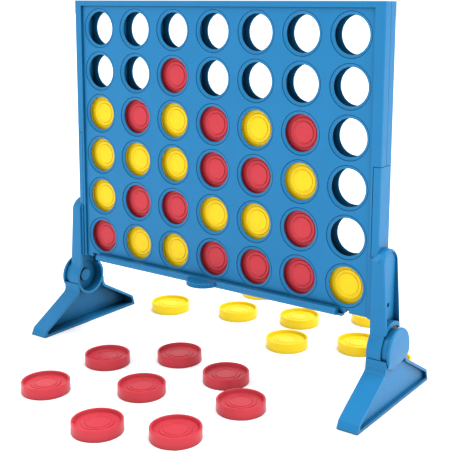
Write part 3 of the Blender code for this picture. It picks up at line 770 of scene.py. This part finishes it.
def foot(side, end):
    """A foot: thin walls round a hollow inside, a recessed web outside and the hub's cover disc."""
    def outer_rim(a, b):
        return abs(a.x - b.x) < 1e-3 and abs(a.x) > FOOT_OUTER_X - 0.01

    def inner_rim(a, b):
        return abs(a.x - b.x) < 1e-3 and abs(a.x) < LEG_INNER_X + 0.01

    body = prism("YZ", rounded(FOOT_OUTLINE, FOOT_RADII, 8), end * LEG_INNER_X, end * FOOT_OUTER_X,
                 [(outer_rim, 0.9, 4), (inner_rim, 0.4, 3)])
    recess = rounded(inset(FOOT_OUTLINE, FOOT_WALL), FOOT_INNER_RADII, 6)
    near = LEG_INNER_X - OVERRUN
    steps = [("DIFFERENCE", prism("YZ", recess, end * near, end * FOOT_WEB_INNER_X)),
             ("DIFFERENCE", drum(DRUM_RADIUS + HAIRLINE, end * near, end * FOOT_WEB_INNER_X)),
             ("DIFFERENCE", prism("YZ", recess, end * FOOT_WEB_OUTER_X, end * (FOOT_OUTER_X + OVERRUN))),
             ("UNION", hub_boss(end)),
             ("DIFFERENCE", drum(PIN_BORE, end * (FOOT_WEB_INNER_X - OVERRUN), end * (FOOT_OUTER_X - 0.6),
                                 48))]
    item = combine(side + "_foot", body, steps)
    adopt(item, side + "_foot")


def pivot_pin(side, end):
    """A pin with a slightly rounded head inside the drum and a chamfered tip."""
    head, neck, tip = PIN_HEAD_X, PIN_NECK_X, PIN_TIP_X
    profile = [(0.0, head), (PIN_HEAD_RADIUS - 0.6, head), (PIN_HEAD_RADIUS - 0.2, head + 0.2),
               (PIN_HEAD_RADIUS, head + 0.6), (PIN_HEAD_RADIUS, neck), (PIN_RADIUS + 0.3, neck),
               (PIN_RADIUS, neck + 0.3), (PIN_RADIUS, tip - 0.6), (PIN_RADIUS - 0.5, tip), (0.0, tip)]
    bm = turned([(radius, end * reach) for radius, reach in profile], 64, "X", (0.0, 0.0, HUB_Z))
    adopt(to_object(side + "_pivot_pin", bm), side + "_pivot_pin")


# ---------------------------------------------------------------- discs

def disc_profile():
    """Half of a disc's section: thin rounded rim, deep recess, raised middle with two plain rings."""
    top = DISC_HALF_THICKNESS
    radius = DISC_RADIUS
    face = [(0.0, 1.95), (6.6, 1.95), (6.8, 2.20), (7.3, 2.25), (7.5, 2.0), (7.7, 1.75), (8.6, 1.72),
            (8.8, 1.95), (9.4, 2.0), (9.75, 1.9), (9.95, 1.5), (10.2, 1.38), (13.6, 1.38), (13.95, 1.5),
            (14.15, 1.85), (14.55, 3.5), (14.7, 3.72), (14.95, top), (15.5, top), (15.8, 3.68),
            (radius, 3.4),
            (radius - 0.02, 0.0)]
    return face + [(r, -z) for r, z in reversed(face[:-1])]


def make_discs():
    meshes = {}
    for node in sorted(SLOT_OF):
        if "_disc_" not in node:
            continue
        color = SLOT_OF[node]
        if color not in meshes:
            sample = to_object(color + "_mesh", turned(disc_profile(), DISC_STEPS), 40.0)
            meshes[color] = sample.data
            bpy.data.objects.remove(sample)
        low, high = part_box(node)
        item = bpy.data.objects.new(node, meshes[color].copy())
        bpy.context.scene.collection.objects.link(item)
        item.location = (Vector(low) + Vector(high)) / 2
        if "_loose_" not in node:
            item.rotation_euler = (pi / 2, 0.0, 0.0)
        adopt(item, node)


# ---------------------------------------------------------------- studio

def studio_floor():
    bm = bmesh.new()
    bmesh.ops.create_grid(bm, x_segments=1, y_segments=1, size=6000.0)
    floor = to_object("studio_floor", bm)
    material = bpy.data.materials.new("pale_floor")
    material.use_nodes = True
    tree = material.node_tree
    shader = tree.nodes["Principled BSDF"]
    shader.inputs["Base Color"].default_value = (0.78, 0.78, 0.78, 1.0)
    shader.inputs["Roughness"].default_value = 0.9
    shader.inputs["Specular IOR Level"].default_value = 0.1
    shader.inputs["Emission Color"].default_value = (1.0, 1.0, 1.0, 1.0)
    shader.inputs["Emission Strength"].default_value = 0.4
    floor.data.materials.append(material)


def sun(name, direction, strength, spread):
    data = bpy.data.lights.new(name, "SUN")
    data.energy = strength
    data.angle = radians(spread)
    lamp = bpy.data.objects.new(name, data)
    lamp.rotation_euler = Vector(direction).to_track_quat("Z", "Y").to_euler()
    bpy.context.scene.collection.objects.link(lamp)


def studio():
    studio_floor()
    sun("key_light", (0.36, 0.24, 0.90), 2.2, 30.0)
    sun("left_light", (-0.50, -0.35, 0.79), 0.3, 12.0)
    world = bpy.data.worlds.new("studio")
    world.use_nodes = True
    world.node_tree.nodes["Background"].inputs["Color"].default_value = (1.0, 1.0, 1.0, 1.0)
    world.node_tree.nodes["Background"].inputs["Strength"].default_value = 1.04
    bpy.context.scene.world = world
    bpy.context.scene.view_settings.view_transform = "Standard"


def camera():
    data = bpy.data.cameras.new("camera")
    data.lens = CAMERA_LENS
    data.sensor_width = CAMERA_SENSOR
    data.shift_x, data.shift_y = CAMERA_SHIFT
    data.clip_start, data.clip_end = CAMERA_CLIP
    item = bpy.data.objects.new("camera", data)
    azimuth, elevation, roll = (radians(v) for v in (CAMERA_AZIMUTH, CAMERA_ELEVATION, CAMERA_ROLL))
    ahead = Vector((-sin(azimuth) * cos(elevation), cos(azimuth) * cos(elevation), -sin(elevation)))
    right = ahead.cross(Vector((0, 0, 1))).normalized()
    up = right.cross(ahead)
    turned_right = right * cos(roll) + up * sin(roll)
    turned_up = up * cos(roll) - right * sin(roll)
    basis = Matrix((turned_right, turned_up, -ahead)).transposed()
    item.matrix_world = Matrix.Translation(CAMERA_PLACE) @ basis.to_4x4()
    bpy.context.scene.collection.objects.link(item)
    bpy.context.scene.camera = item


camera()
studio()
shell("grid_front_shell", -1)
shell("grid_rear_shell", 1)
release_bar()
for side_name, side_sign in (("left", -1), ("right", 1)):
    leg_post(side_name, side_sign)
    foot(side_name, side_sign)
    pivot_pin(side_name, side_sign)
make_discs()
